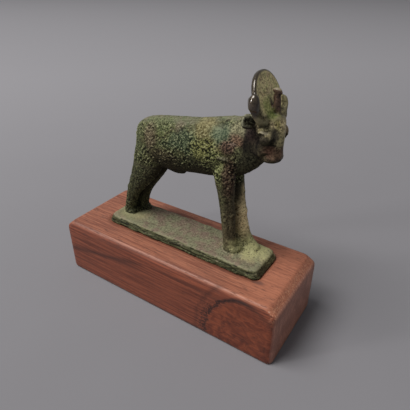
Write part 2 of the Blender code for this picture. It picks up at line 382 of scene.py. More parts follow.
class Skin:
    """The points of a fine mesh in millimetres, moved by strokes as a sculptor would."""

    def __init__(self, piece, place):
        self.mesh = piece.data
        count = len(self.mesh.vertices)
        points = np.zeros(count * 3)
        self.mesh.vertices.foreach_get("co", points)
        self.points = points.reshape(-1, 3) / MM
        edges = np.zeros(len(self.mesh.edges) * 2, int)
        self.mesh.edges.foreach_get("vertices", edges)
        self.edges = edges.reshape(-1, 2)
        self.neighbours = np.bincount(self.edges.ravel(), minlength=count)
        self.place = place

    def store(self):
        self.mesh.vertices.foreach_set("co", (self.points * MM).ravel())
        self.mesh.update()

    def normals(self):
        self.store()
        found = np.zeros(len(self.points) * 3)
        self.mesh.vertices.foreach_get("normal", found)
        return found.reshape(-1, 3)

    def mean_of_neighbours(self, values):
        total = np.zeros_like(values)
        for first, second in ((0, 1), (1, 0)):
            for axis in range(values.shape[1]):
                total[:, axis] += np.bincount(
                    self.edges[:, first], values[self.edges[:, second], axis], len(values)
                )
        return total / self.neighbours[:, None]

    def relax(self, rounds, weight=None, inflate=0.0):
        """Smooths, and with inflate near -0.5 gives back the volume that smoothing takes."""
        amount = 0.5 if weight is None else 0.5 * weight[:, None]
        for _ in range(rounds):
            self.points += (self.mean_of_neighbours(self.points) - self.points) * amount
            if inflate:
                back = inflate if weight is None else inflate * weight[:, None]
                self.points += (self.mean_of_neighbours(self.points) - self.points) * back

    def hollows(self, reach):
        """0.5 on a flat place, towards 1 in a hollow and towards 0 on a ridge."""
        spread = self.points.copy()
        for _ in range(reach):
            spread = self.mean_of_neighbours(spread)
        depth = ((spread - self.points) * self.normals()).sum(axis=1)
        return np.clip(0.5 + depth * 2.0, 0, 1)

    def local(self, place=None):
        """The points as they lie in a placed frame, such as the head's."""
        matrix = np.array((place or self.place).inverted())
        return self.points @ matrix[:3, :3].T + matrix[:3, 3]

    def near(self, centre, reach, place=None):
        """1 at a place, falling to 0 at its reach along each axis."""
        away = np.linalg.norm((self.local(place) - np.array(centre)) / np.array(reach), axis=1)
        return soft(1 - away)

    def stroke(self, line, radius, height, place=None, facing=None):
        """Raises, or with a negative height cuts, the skin along a line of places."""
        points = self.local(place)
        nearest = np.full(len(points), np.inf)
        for first, second in zip(line, line[1:]):
            start, run = np.array(first, float), np.array(second, float) - np.array(first, float)
            share = np.clip((points - start) @ run / (run @ run), 0, 1)
            nearest = np.minimum(nearest, np.linalg.norm(points - start - share[:, None] * run, axis=1))
        normals = self.normals()
        weight = soft(1 - nearest / radius)
        if facing is not None:
            turned = np.array((place or self.place).to_3x3()) @ np.array(facing, float)
            weight = weight * np.clip(normals @ turned, 0, 1)
        self.points += normals * (weight * height)[:, None]

    def set_attribute(self, name, values):
        layer = self.mesh.attributes.new(name, "FLOAT", "POINT")
        layer.data.foreach_set("value", values.astype(np.float32))


def soft(share):
    """A smooth step from 0 to 1."""
    share = np.clip(share, 0, 1)
    return share * share * (3 - 2 * share)


def noise_at(points, size, seed):
    """Smooth noise about 0 at each point, whose lumps are size millimetres wide."""
    shift = Vector((seed * 17.3, seed * 5.9, seed * 11.1))
    return np.array([noise.noise(Vector(point) / size + shift) for point in points])


def grains_at(points, size):
    """Crooked corrosion grains of many sizes about 0, the largest of them size millimetres wide."""
    # Without a seed, noise_vector takes its offsets from the clock
    noise.seed_set(GRAIN_SEED)
    heights = []
    for point in points:
        place = Vector(point) / size
        bent = place + noise.noise_vector(place * 0.6) * 0.8
        rough = noise.fractal(bent, 0.7, 2.1, 3)
        worm = 0.35 - abs(noise.noise(bent * 0.8 + Vector((7, 3, 9)))) * 1.9
        patchy = 0.75 + 0.9 * noise.noise(place * 0.3)
        heights.append((0.7 * rough + 0.45 * worm) * patchy)
    return np.array(heights)


def ring(centre, radius, count=12):
    """A closed level circle of places."""
    turns = [2 * math.pi * step / count for step in range(count + 1)]
    return [(centre[0] + radius * math.cos(t), centre[1] + radius * math.sin(t), centre[2]) for t in turns]


def finish_piece(piece, node, material):
    piece.data.polygons.foreach_set("use_smooth", [True] * len(piece.data.polygons))
    piece.data.materials.clear()
    piece.data.materials.append(material)
    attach(piece, "root")
    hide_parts(node)


# The bronze

EYE = (37.7, 5.75, 51.3)
EYE_RADII = (1.3, 0.95, 0.85)
UPPER_LID = [(34.8, 5.5, 52.9), (35.9, 6.3, 53.8), (37.2, 6.5, 53.7), (38.3, 6, 53)]
LOWER_LID = [(36, 5.7, 50.6), (37.4, 6.1, 50.1), (38.9, 5.6, 50.5)]
HORN_RIDGE = [
    (35.2, 10.1, 65.7), (35.8, 9.2, 63.3), (36.7, 8.3, 61.4), (37.4, 5.7, 59.9), (37.5, 2.7, 59),
]
HORN_FOOT = [(34.7, 11.6, 61.2), (35.6, 11.2, 60.7), (37.1, 9.7, 59.8), (37.9, 7.8, 58.8)]

# X and Y of the right and left forefoot, then of the right and left hind foot
LEG_FEET = [(24.4, -3), (28.2, 3.2), (-31.2, -2.9), (-28.1, 2.9)]

# Centre and radii of the brow, the end of the right horn and the parts of the cobra
CROWN_BALLS = [
    ((36.9, 0, 57.2), (2.4, 5.4, 2.1)), ((34.9, -10.7, 63.6), (2, 1.85, 3.2)),
    ((37.3, 0, 62.4), (0.9, 1.6, 3.2)), ((36.7, -0.2, 66.7), (1.7, 1.2, 0.9)),
    ((37, 0, 65.1), (0.95, 1.25, 1.5)), ((38, -0.2, 66.1), (0.8, 0.7, 0.6)),
]

# Centre and radii of the knees and the hocks
KNEE_BALLS = [
    ((22.6, -3, 16.8), (3.1, 2.9, 2.6)), ((24, 3.1, 16), (3.7, 2.95, 2.8)),
    ((-28.3, -3, 13.4), (2.5, 2.5, 2.6)), ((-25.6, 3, 13.4), (2.5, 2.5, 2.6)),
]

# Places and radius of the metal left between and before the legs
LOWER_ROLLS = [
    ([(-31, 0.2, 13), (-32.6, 0.2, 6), (-33.2, 0.2, 0.6)], 1.7),
    ([(-27.6, 1.2, 12), (-29.6, 1, 6), (-30.4, 1, 0.8)], 1.5),
    ([(25.6, 3.6, 9), (28, 3.4, 4), (32.5, 3, 0.2)], 2.3),
    ([(25, -0.6, 5), (28, 0.2, 1), (33, 0.4, -0.6)], 1.6),
]
WITHERS_LINE = [(9, 0, 49.9), (16, 0, 51.5), (22, 0, 52.8), (27, 0, 53.4)]
WITHERS_RADIUS = 2.9

# Line, radius and height of strokes on the hind quarter, the legs, the throat and the shoulder
MUSCLES = [
    ([(-20.5, -4.4, 46), (-21, -5.4, 38)], 2.6, -0.25),
    ([(22.4, -6, 30), (24, -5.6, 22), (24.6, -5.2, 8)], 1.2, -0.25),
    ([(20.4, -6.4, 30), (21.6, -6.2, 22), (22.6, -5.8, 8)], 1.2, 0.2),
    ([(24.6, 6.2, 26), (27, 6, 14)], 1.2, -0.22),
    ([(-23.6, -6.2, 20), (-28, -5.8, 10)], 1.2, -0.22),
    ([(26, 0, 33.6), (30, 0, 38.4), (33.4, 0, 43)], 1.6, 0.35),
    ([(19.2, -6.6, 42.4), (20.8, -6.5, 41), (22.8, -6, 40.7)], 0.7, 0.35),
]

# Line, radius and height of the strokes under the eye, at the nostril, the mouth, the lip and the cheek
FACE_STROKES = [
    ([(39.6, 4.4, 51.2), (39.2, 3.9, 48.4)], 1.3, -0.45),
    ([(40.9, 2.6, 45), (41.5, 1.9, 44.5)], 0.85, -0.55),
    ([(37.4, 4, 44), (39.4, 3.7, 43), (41.4, 1.6, 42.7)], 0.6, -0.4),
    ([(36.6, 4, 46.6), (38.4, 4.1, 46.8), (40.4, 3.3, 46.8)], 1.1, 0.45),
    ([(36, 4.4, 48.8), (38.4, 3.9, 48.8), (40.2, 3.2, 48.6)], 1.2, -0.4),
    ([(34.4, 4.6, 50.6), (34.2, 4.2, 46.4)], 1, -0.5),
]
EAR_LINE = [(32.4, 5.2, 56.1), (31.2, 8.4, 56.7)]
TAIL_TWISTS = 5
TAIL_TWIST_RISE = 1.7
TOP_CLEARANCE = 0.02


def both_sides(points):
    """The same places on the bull's right, and then on its left."""
    return [[(x, side * y, z) for x, y, z in points] for side in (-1, 1)]


def add_head_forms(bm):
    for side in (-1, 1):
        add_ball(bm, (EYE[0], side * EYE[1], EYE[2]), EYE_RADII, HEAD_PLACE)
        add_ball(bm, (34.8, side * 3.7, 47.6), (2.6, 1.4, 3.4), HEAD_PLACE)
        add_ball(bm, (39.6, side * 2.2, 44.6), (1.7, 1.3, 1.7), HEAD_PLACE)
        add_roll(bm, [(34.2, side * 6.6, 59.8), (33, side * 4.6, 57.6)], 1.6, HEAD_PLACE)
    for line in both_sides(UPPER_LID):
        add_roll(bm, line, 0.5, HEAD_PLACE)
    for line in both_sides(LOWER_LID):
        add_roll(bm, line, 0.42, HEAD_PLACE)
    for centre, radii in CROWN_BALLS:
        add_ball(bm, centre, radii, HEAD_PLACE)


def add_leg_forms(bm):
    for centre, radii in KNEE_BALLS:
        add_ball(bm, centre, radii, BODY_PLACE)
    for x, y in LEG_FEET:
        add_ball(bm, (x + 0.9, y, 0.9), (3.4, 2.9, 1.9), BODY_PLACE)
    for line, radius in LOWER_ROLLS:
        add_roll(bm, line, radius, BODY_PLACE)


def model_bronze(settings):
    bm = merged_copy("apis_bull")
    add_head_forms(bm)
    add_roll(bm, WITHERS_LINE, WITHERS_RADIUS, BODY_PLACE)
    add_leg_forms(bm)
    piece = remeshed(bm, "bronze_bull", settings.voxel)
    skin = Skin(piece, BODY_PLACE)
    smooth_form(skin, settings)
    carve_form(skin)
    grow_crust(skin, settings)
    keep_in_box(skin)
    skin.store()
    return piece


def smooth_form(skin, settings):
    """Melts the facets, and fills the corners where limbs, neck and body meet."""
    points = skin.local()
    crown = soft((points[:, 2] - 57) / 4)
    skin.relax(settings.facet_rounds, 1 - 0.75 * crown, inflate=-0.52)
    joins = [
        ((18, 0, 48), (9, 12, 12)), ((31, 0, 47), (6, 8, 10)),
        ((-22, 0, 38), (7, 9, 12)), ((24, 0, 34), (7, 6, 6)),
    ]
    for side in (-1, 1):
        joins += [((19, side * 5.5, 35), (9, 6, 8)), ((-13, side * 5.5, 34), (12, 6, 11))]
    weight = np.zeros(len(points))
    for centre, reach in joins:
        weight = np.maximum(weight, skin.near(centre, reach))
    skin.relax(18, weight)
    feet = np.zeros(len(points))
    for x, y in LEG_FEET:
        feet = np.maximum(feet, skin.near((x + 1, y, 0), (7, 6, 3)))
    skin.relax(5, feet)


def carve_form(skin):
    """Eyes, nostrils, mouth, ears, hooves, muscles and the dished disc."""
    for side, upper in enumerate(both_sides(UPPER_LID)):
        under_lid = [(x + 0.1, y, z - 1.05) for x, y, z in upper]
        skin.stroke(under_lid, 0.95, -0.75, HEAD_PLACE)
        over_lid = [(x, y, z + 1.4) for x, y, z in upper]
        skin.stroke(over_lid, 1.1, -0.25, HEAD_PLACE)
        for line, radius, height in FACE_STROKES:
            skin.stroke(both_sides(line)[side], radius, height, HEAD_PLACE)
        skin.stroke(both_sides(EAR_LINE)[side], 2, -0.8, HEAD_PLACE, facing=(1, 0, 0))
    for ridge, foot in zip(both_sides(HORN_RIDGE), both_sides(HORN_FOOT)):
        skin.stroke(foot, 1.2, -0.5, HEAD_PLACE)
        skin.stroke(ridge, 0.75, 0.35, HEAD_PLACE)
    skin.relax(11, skin.near((38, 0, 57), (3.4, 6.5, 3.2), HEAD_PLACE))
    skin.relax(10, skin.near((39.4, 0, 42.6), (4.6, 5.6, 3), HEAD_PLACE))
    for side in (-1, 1):
        skin.relax(16, skin.near((34.8, side * 10.4, 64.4), (4, 3.2, 4.2), HEAD_PLACE))
    skin.stroke([(38.1, 0, 60.5), (37.8, 0, 65)], 0.6, -0.25, HEAD_PLACE)
    skin.stroke([(41.3, -1.4, 42.7), (41.6, 0, 42.6), (41.3, 1.4, 42.7)], 0.6, -0.4, HEAD_PLACE)
    skin.stroke([(40.4, 0, 55.4), (41.2, 0, 49.5)], 2.6, 0.22, HEAD_PLACE)
    dish_disc(skin)
    for x, y in LEG_FEET:
        skin.stroke(ring((x + 0.2, y, 3.6), 2.6), 0.6, -0.2)
        skin.stroke(ring((x + 0.2, y, 2.2), 2.8), 0.5, -0.15)
        skin.stroke([(x + 3.2, y, 3.4), (x + 4.6, y, 0.4)], 0.6, -0.45)
    for side in (-1, 1):
        skin.stroke([(17.5, side * 7, 50), (20.5, side * 7, 44), (21, side * 6.6, 36)], 4, 0.35)
        skin.stroke([(14, side * 7.4, 49), (15.5, side * 7.4, 41), (16, side * 7, 33)], 2.6, -0.3)
    for haunch in both_sides([(-10.5, 7.4, 45), (-9, 7.4, 38), (-9.5, 6.8, 31)]):
        skin.stroke(haunch, 3, -0.32)
    for line, radius, height in MUSCLES:
        skin.stroke(line, radius, height)
    for turn in range(TAIL_TWISTS):
        low = 1.0 + turn * TAIL_TWIST_RISE
        skin.stroke([(-35.2, -1.6, low), (-34.6, 0, low + 0.9), (-34.4, 1.6, low + 1.6)], 0.5, -0.25)
    skin.relax(2)


def dish_disc(skin):
    """A shallow dish in the disc's front, with a soft rim."""
    points = skin.local(DISC_PLACE)
    spread = np.hypot(points[:, 1], points[:, 2])
    front = (points[:, 0] > 0) & (points[:, 0] < 2.2) & (points[:, 2] > -7)
    weight = soft((DISC_RADIUS - 1.0 - spread) / 1.2) * front
    forward = np.array(DISC_PLACE.to_3x3()) @ np.array((1, 0, 0))
    skin.points -= forward * (weight * 0.22)[:, None]
    turn = np.array(DISC_PLACE.to_3x3())
    outward = points * np.array((0, 1, 1)) / np.maximum(spread, 0.1)[:, None]
    facing = ((skin.normals() @ turn) * outward).sum(axis=1)
    across = np.abs(points[:, 0]) / DISC_HALF_THICKNESS
    rim = soft((facing - 0.35) / 0.3) * (across < 1.1) * (np.abs(spread - DISC_RADIUS) < 0.8)
    target = DISC_RADIUS - 0.35 * np.clip(across, 0, 1) ** 6
    skin.points += (outward @ turn.T) * (rim * (target - spread))[:, None]


def grow_crust(skin, settings):
    """Corrosion grains, pits and slow lumps, with the height stored for the patina."""
    points = skin.local()
    grain_size = settings.grain_size / MM
    grains = grains_at(points, grain_size)
    lumps = noise_at(points, 4.2, 3)
    normals = skin.normals()
    up = normals[:, 2]
    flank = soft((points[:, 2] - 27) / 4) * soft((0.95 - up) / 0.5) * soft((up + 0.8) / 0.5)
    body = soft((30 - points[:, 0]) / 5)
    legs = soft((29 - points[:, 2]) / 4) * soft((points[:, 2] + 0.6) / 0.8)
    hind = soft((-8 - points[:, 0]) / 6)
    crown = soft((points[:, 2] - 57) / 3)
    plinth = soft((0.4 - points[:, 2]) / 0.6)
    head = soft((points[:, 0] - 27) / 5) * soft((points[:, 2] - 30) / 5)
    crust = np.clip(flank * body, 0, 1)
    crust = np.maximum(crust, (0.4 + 0.45 * hind) * legs)
    crust = np.maximum(crust, 0.2 * head)
    crust = np.maximum(crust, 0.26 * (1 - head))
    crust *= 1 - 0.8 * crown
    crust = np.where(plinth > 0.5, 0.3 + 0.4 * soft((0.6 - up) / 0.4), crust)
    worn = 0.7 * skin.near((23, -5.5, 44.5), (4.5, 4, 5))
    worn = np.maximum(worn, skin.near((18.5, -4.5, 51.5), (11, 6, 5)))
    worn = np.maximum(worn, skin.near((26.5, -4.5, 50), (6, 5, 6)))
    crust *= 1 - 0.62 * worn
    patchy = soft(0.5 + 1.6 * noise_at(points, 9, 4))
    crust *= 0.55 + 0.45 * patchy
    height = grains * crust
    rise = height * settings.crust_height / MM * 1.4 + lumps * 0.12 * (1 - crown)
    skin.points += normals * rise[:, None]
    skin.set_attribute("grain", np.clip(0.5 + 0.8 * grains, 0, 1))
    skin.set_attribute("hollow", skin.hollows(8))
    skin.set_attribute("crust", np.clip(crust, 0, 1))
    ragged_plinth(skin, points, normals)


def ragged_plinth(skin, points, normals):
    """Uneven lips along the sides of the plinth, and mounds of bloom round the forefeet."""
    side = soft((0.3 - points[:, 2]) / 0.5) * soft((np.abs(normals[:, 1]) - 0.2) / 0.4)
    wave = noise_at(points * np.array((0.25, 1, 1.6)), 1.5, 5)
    skin.points += normals * (side * wave * 0.4)[:, None]
    top = soft((normals[:, 2] - 0.6) / 0.3) * soft((1.5 - points[:, 2]) / 1) * (points[:, 2] > -1)
    mound = skin.near((31.5, 3.5, 0), (9, 7, 4)) * 0.5 + skin.near((29, -3.5, 0), (7, 5, 4)) * 0.35
    swell = noise_at(points, 6, 6) * 0.16
    skin.points[:, 2] += top * (mound + swell)


def keep_in_box(skin):
    """Nothing rises above the imported model's top or sinks below the bull's lowest point."""
    skin.points[:, 2] = np.clip(skin.points[:, 2], BULL_LOW.z / MM, CAD_HIGH.z / MM - TOP_CLEARANCE)


# Corrosion that differs from the crust round it: place, reach, share, colour of its pits and of its crests
SIDE_PATCHES = [
    ((-9, -5.2, 48), (7.5, 4, 4.2), 0.65, (0.035, 0.045, 0.014), (0.17, 0.2, 0.08)),
    ((-13, -6, 43), (3.4, 4, 5), 0.75, (0.035, 0.024, 0.012), (0.18, 0.13, 0.085)),
    ((0.5, -5.5, 48.5), (2.2, 3, 2.6), 0.6, (0.07, 0.05, 0.032), (0.21, 0.16, 0.12)),
    ((4.5, -6.6, 44), (8.5, 4, 5), 0.75, (0.01, 0.02, 0.009), (0.11, 0.145, 0.08)),
    ((14, -6.8, 43), (6.5, 4, 5.5), 0.85, (0.01, 0.01, 0.003), (0.27, 0.27, 0.085)),
    ((18, -6.4, 38), (4.5, 4, 5.5), 0.8, (0.022, 0.026, 0.006), (0.26, 0.28, 0.11)),
    ((12.5, -4.4, 50.6), (5, 4.6, 4.2), 0.8, (0.12, 0.098, 0.038), (0.27, 0.235, 0.11)),
    ((20, -5, 49.4), (4.8, 4, 3.8), 0.8, (0.048, 0.074, 0.042), (0.17, 0.208, 0.125)),
    ((26.5, -4, 52.3), (4.2, 4, 2.8), 0.85, (0.125, 0.118, 0.068), (0.34, 0.315, 0.19)),
    ((25.8, -4.6, 48.6), (3.4, 3.6, 2.6), 0.85, (0.052, 0.027, 0.015), (0.25, 0.15, 0.098)),
    ((22.8, -5.5, 45.6), (3.8, 3.6, 3), 0.92, (0.009, 0.005, 0.003), (0.19, 0.11, 0.078)),
    ((24.6, -5, 47.2), (1.7, 2.4, 0.7), 0.6, (0.12, 0.08, 0.06), (0.32, 0.24, 0.19)),
    ((26.6, -5, 44.6), (1.8, 3, 2.2), 0.75, (0.03, 0.032, 0.014), (0.17, 0.18, 0.085)),
    ((23.6, -5.2, 34), (2.6, 3.6, 9), 0.88, (0.018, 0.009, 0.006), (0.15, 0.085, 0.058)),
    ((20.9, -6.3, 41.2), (2.3, 2, 0.8), 0.65, (0.15, 0.13, 0.08), (0.38, 0.36, 0.24)),
    ((-7, -6, 34.5), (7, 4, 4), 0.65, (0.02, 0.013, 0.006), (0.13, 0.09, 0.05)),
    ((-21, -5, 40), (4.5, 5, 7), 0.6, (0.012, 0.018, 0.007), (0.12, 0.135, 0.06)),
    ((-6, 5.5, 45), (9, 4, 5), 0.6, (0.018, 0.026, 0.01), (0.14, 0.18, 0.08)),
    ((10, 6, 42), (7, 4, 6), 0.6, (0.022, 0.018, 0.008), (0.2, 0.19, 0.075)),
    ((22, 5.5, 46), (5, 4, 7), 0.65, (0.028, 0.016, 0.01), (0.14, 0.085, 0.058)),
]

# The same for the ear's root, the brow, the nose and the temple, with the blur and the raggedness of each
FACE_PATCHES = [
    ((36.2, -8.4, 57.4), (2.4, 2.4, 2.2), 0.5, 0.4, 0.6, (0.05, 0.065, 0.02), (0.27, 0.3, 0.11)),
    ((39, -2.8, 57), (1.3, 1, 3.2), 0.5, 0.4, 0.6, (0.1, 0.09, 0.02), (0.42, 0.38, 0.1)),
    ((41, -2, 50), (2.6, 2.4, 4), 0.5, 0.3, 0.55, (0.035, 0.038, 0.014), (0.19, 0.19, 0.08)),
    ((36.6, -6.8, 55.6), (2.8, 2.4, 1.9), 0.4, 0.4, 0.6, (0.03, 0.03, 0.014), (0.18, 0.17, 0.09)),
]


class Patina(Finish):
    """Olive crust with dark pits and pale crests, changed by patches of other corrosion."""

    def __init__(self, settings):
        super().__init__("patinated bronze")
        self.settings = settings
        self.grain = self.attribute("grain")
        self.crust = self.attribute("crust")
        self.hollow = self.attribute("hollow")
        self.along = self.axis("X")
        self.height = self.axis("Z") - GROUND_Z
        self.fine = self.noise((0.5, 0.5, 0.5), 3, roughness=0.65)
        self.broad = self.noise((5, 5, 5), 3)
        self.clouds = self.noise((2.2, 2.2, 2.2), 3, roughness=0.6, shift=(8, 1, 4))
        self.speck = self.noise((0.9, 0.9, 0.9), 2, shift=(3, 7, 1))
        self.normal = self.node("ShaderNodeNewGeometry", {}, {}, "Normal")
        self.up = self.node("ShaderNodeSeparateXYZ", {}, {"Vector": self.normal}, "Z")
        sharp = (self.fine - 0.5) * 2.4 + 0.5
        self.level = self.grain * 0.4 + sharp * 0.38 + (1 - self.hollow) * 0.22

    def patch(self, centre, reach, blur=0.5, ragged=0.5):
        """1 inside an egg about a place on the bull, with a ragged edge."""
        x, y, z = centre
        away = self.distance((x, y + BULL_MIDDLE_Y, z + GROUND_Z), reach)
        wander = (self.broad - 0.5) * 2 + (self.clouds - 0.5) * 1.4
        return 1 - (away + wander * ragged).ramp(1 - blur, 1 + blur)

    def head_patches(self, centre, reach, blur=0.5, ragged=0.5):
        """The same patch on both sides of the turned head."""
        x, y, z = centre
        turn = BODY_PLACE.inverted() @ HEAD_PLACE
        left, right = (tuple(turn @ Vector((x, side * y, z))) for side in (1, -1))
        return self.patch(left, reach, blur, ragged).high(self.patch(right, reach, blur, ragged))

    def both_patches(self, centre, reach, blur=0.5, ragged=0.5):
        x, y, z = centre
        return self.patch((x, -y, z), reach, blur, ragged).high(self.patch((x, y, z), reach, blur, ragged))

    def range(self, pits, crests, start=0.34, end=0.66):
        """One colour in the pits and another on the crests."""
        return self.mix(self.level.ramp(start, end), pits, crests)

    def tint(self, mask, pits, crests, start=0.34, end=0.66):
        """Lays one colour in the pits and another on the crests where the mask is 1."""
        self.lay(mask, self.range(pits, crests, start, end))

    def lay_body(self):
        """Crust on the flanks, and worn skin elsewhere."""
        settings = self.settings
        rough = self.crust.ramp(0.2, 0.6)
        olive = self.mix(self.broad.ramp(0.35, 0.65), (0.04, 0.058, 0.022), settings.olive)
        self.colour = self.mix(self.level.ramp(0.34, 0.5), settings.pit, olive)
        self.lay(self.level.ramp(0.5, 0.66) * rough, settings.crest)
        brown = self.range((0.02, 0.014, 0.007), (0.14, 0.095, 0.055))
        self.lay(self.clouds.ramp(0.52, 0.7) * 0.5, brown)
        self.tint(1 - rough, (0.022, 0.02, 0.01), (0.115, 0.108, 0.055), 0.3, 0.7)
        # Darker towards the bottom of the body: painted shade.
        self.tint(self.height.fall(26, 46) * 0.38, (0.008, 0.007, 0.003), (0.075, 0.072, 0.034))

    def lay_back(self):
        # Upward surfaces lighter and greyer: worn patina, and partly a painted sheen of the light from above,
        # with pale specks.
        top = self.up.ramp(0.45, 0.85) * self.height.ramp(20, 30)
        hairs = self.noise((4.5, 0.5, 0.5), 2, shift=(2, 2, 6))
        worn = (hairs * 0.4 + self.level * 0.6).ramp(0.38, 0.6)
        self.lay(top * 0.85, self.mix(worn, (0.08, 0.082, 0.042), self.settings.back))
        self.tint(top * self.clouds.ramp(0.52, 0.68) * 0.5, (0.1, 0.078, 0.05), (0.23, 0.19, 0.135))
        self.tint(top * self.clouds.fall(0.32, 0.48) * 0.55, (0.05, 0.07, 0.025), (0.14, 0.18, 0.085))
        self.lay(top * self.speck.ramp(0.6, 0.7) * 0.5, (0.3, 0.29, 0.19))

    def lay_patches(self):
        for centre, reach, share, pits, crests in SIDE_PATCHES:
            self.tint(self.patch(centre, reach, 0.45, 0.65) * share, pits, crests, 0.4, 0.62)
        glints = self.level.ramp(0.6, 0.7) * self.crust.ramp(0.2, 0.7)
        self.lay(glints * 0.55, (0.36, 0.35, 0.21))

    def lay_legs(self):
        hind = self.along.fall(-22, -12)
        low = self.height.fall(23, 32)
        self.tint(hind * low * 0.85, (0.007, 0.007, 0.004), (0.075, 0.078, 0.036), 0.36, 0.68)
        # Painted light: the far foreleg made pale yellow-brown as if lit, with some pale bloom, most on its
        # faces turned to the bull's right.
        far_leg_painted_light = self.patch((25.5, 3.2, 9), (4.5, 3.6, 15), 0.4, 0.4)
        outside = self.node("ShaderNodeSeparateXYZ", {}, {"Vector": self.normal}, "Y").ramp(-0.1, 0.7)
        self.tint(far_leg_painted_light * (0.95 - outside * 0.7), (0.2, 0.15, 0.075), (0.88, 0.73, 0.41), 0.25, 0.6)
        near_leg = self.patch((24, -3.2, 10), (4.2, 3.4, 16), 0.4, 0.4)
        self.tint(near_leg * 0.8, (0.022, 0.017, 0.009), (0.13, 0.105, 0.06), 0.32, 0.7)

    def lay_head(self):
        self.head = self.patch((37, -0.6, 50.5), (7.5, 9, 9.5), 0.15, 0.1)
        self.tint(self.head, (0.16, 0.125, 0.07), (0.88, 0.74, 0.415), 0.3, 0.72)
        self.tint(self.head * self.clouds.ramp(0.5, 0.7) * 0.5, (0.06, 0.065, 0.025), (0.26, 0.27, 0.11))
        for centre, reach, blur, ragged, share, pits, crests in FACE_PATCHES:
            self.tint(self.patch(centre, reach, blur, ragged) * share, pits, crests)
        # Painted shade at the roots of the horns.
        horn_root_shade = self.both_patches((34.6, 8.8, 59.2), (2.4, 2.2, 2.4), 0.4, 0.4)
        self.tint(horn_root_shade * 0.6, (0.02, 0.02, 0.01), (0.13, 0.12, 0.06))
        # Painted shade in the hollow between the right eye and the nose bridge.
        self.lay(self.patch((38.9, -4.6, 53), (2.5, 2.2, 2.3), 0.4, 0.3) * 0.85, (0.03, 0.03, 0.027))
        # Painted shade on the cheeks, between the eyes and the muzzle.
        self.cheek_shade = self.both_patches((36.6, 5.4, 49.4), (3.8, 3.2, 4.6), 0.3, 0.2)
        self.tint(self.cheek_shade * 0.92, (0.006, 0.004, 0.003), (0.022, 0.015, 0.01))
        # Painted shade in the eyes under the lids and in the sockets beside them.
        eyes = self.head_patches((37.7, 5.9, 51.2), (2.4, 1.8, 1.6), 0.25, 0.15)
        self.tint(eyes * 0.85, (0.008, 0.006, 0.004), (0.05, 0.04, 0.028))
        eye_socket_shade = self.head_patches((38.4, 5.2, 52.2), (1.7, 1.3, 1.8), 0.4, 0.3)
        self.tint(eye_socket_shade * 0.65, (0.02, 0.018, 0.01), (0.1, 0.09, 0.05))
        muzzle = self.patch((39.2, -2.2, 46.2), (4.4, 4.8, 3), 0.35, 0.3)
        self.tint(muzzle * 0.9, (0.045, 0.022, 0.014), (0.15, 0.078, 0.052))
        lip = self.height.fall(44.2, 45.6) * self.along.ramp(33, 36)
        self.tint(lip * self.head * 0.85, (0.01, 0.006, 0.004), (0.06, 0.035, 0.024))
        self.lay(self.patch((39.5, 5.2, 54), (3, 2.6, 3.4), 0.5, 0.2) * 0.6, (0.12, 0.07, 0.05))
        ears = self.both_patches((30.4, 7.6, 57), (3.4, 4.2, 4), 0.3, 0.1)
        self.tint(ears * 0.9, (0.016, 0.013, 0.008), (0.17, 0.17, 0.1), 0.4, 0.72)
        # Paler ear rims: a painted highlight on their upward faces, and wear on their ridges.
        rims = self.up.ramp(0.3, 0.8).high((1 - self.hollow).ramp(0.56, 0.72))
        self.tint(ears * rims * 0.6, (0.05, 0.048, 0.03), (0.3, 0.29, 0.2))
        # Painted highlight along the upper lids.
        lid_highlight = self.head_patches((36.3, 6.3, 53.8), (2.4, 1.3, 0.6), 0.3, 0.1)
        self.lay(lid_highlight * (1 - self.hollow).ramp(0.45, 0.65) * 0.8, (0.34, 0.3, 0.21))

    def lay_painted_shade(self):
        """Painted shade: the dark underside of the body, the neck and the gaps between the legs."""
        # Painted shade on the surfaces that face down.
        under = (0 - self.up).ramp(-0.04, 0.38) * self.height.ramp(14, 24)
        self.tint(under * 0.9, (0.006, 0.005, 0.003), (0.03, 0.027, 0.012))
        # Painted shade on the neck behind the cheeks, below the ears and at the throat, with olive specks at
        # the throat.
        collar = self.patch((31.2, -4.8, 47.6), (3.4, 4.5, 8.6), 0.3, 0.25)
        self.tint(collar * 0.95, (0.003, 0.002, 0.002), (0.013, 0.01, 0.007))
        nape = self.patch((31, -6.5, 52), (2.6, 3.4, 3.4), 0.5, 0.4)
        self.tint(nape * 0.7, (0.01, 0.005, 0.005), (0.048, 0.027, 0.026))
        far_collar = self.patch((31.2, 4.8, 47.6), (3.4, 4.5, 8.6), 0.3, 0.25)
        self.tint(far_collar * 0.85, (0.006, 0.005, 0.003), (0.022, 0.018, 0.01))
        throat = self.patch((29.6, -4.2, 40.6), (4.2, 5, 4.4), 0.4, 0.4)
        self.tint(throat * 0.75, (0.01, 0.01, 0.005), (0.08, 0.078, 0.042))
        self.dull = collar.high(far_collar).high(under)
        # Painted shade between the legs.
        middle = 1 - abs(self.axis("Y") - BULL_MIDDLE_Y).ramp(0.6, 2.4)
        hind = self.along.fall(-10, 0)
        leg_gap_shade = (self.height.ramp(4, 12) * hind).high(self.height.ramp(17, 25))
        self.lay(middle * (leg_gap_shade * self.height.fall(28, 32)) * 0.75, (0.009, 0.008, 0.005))

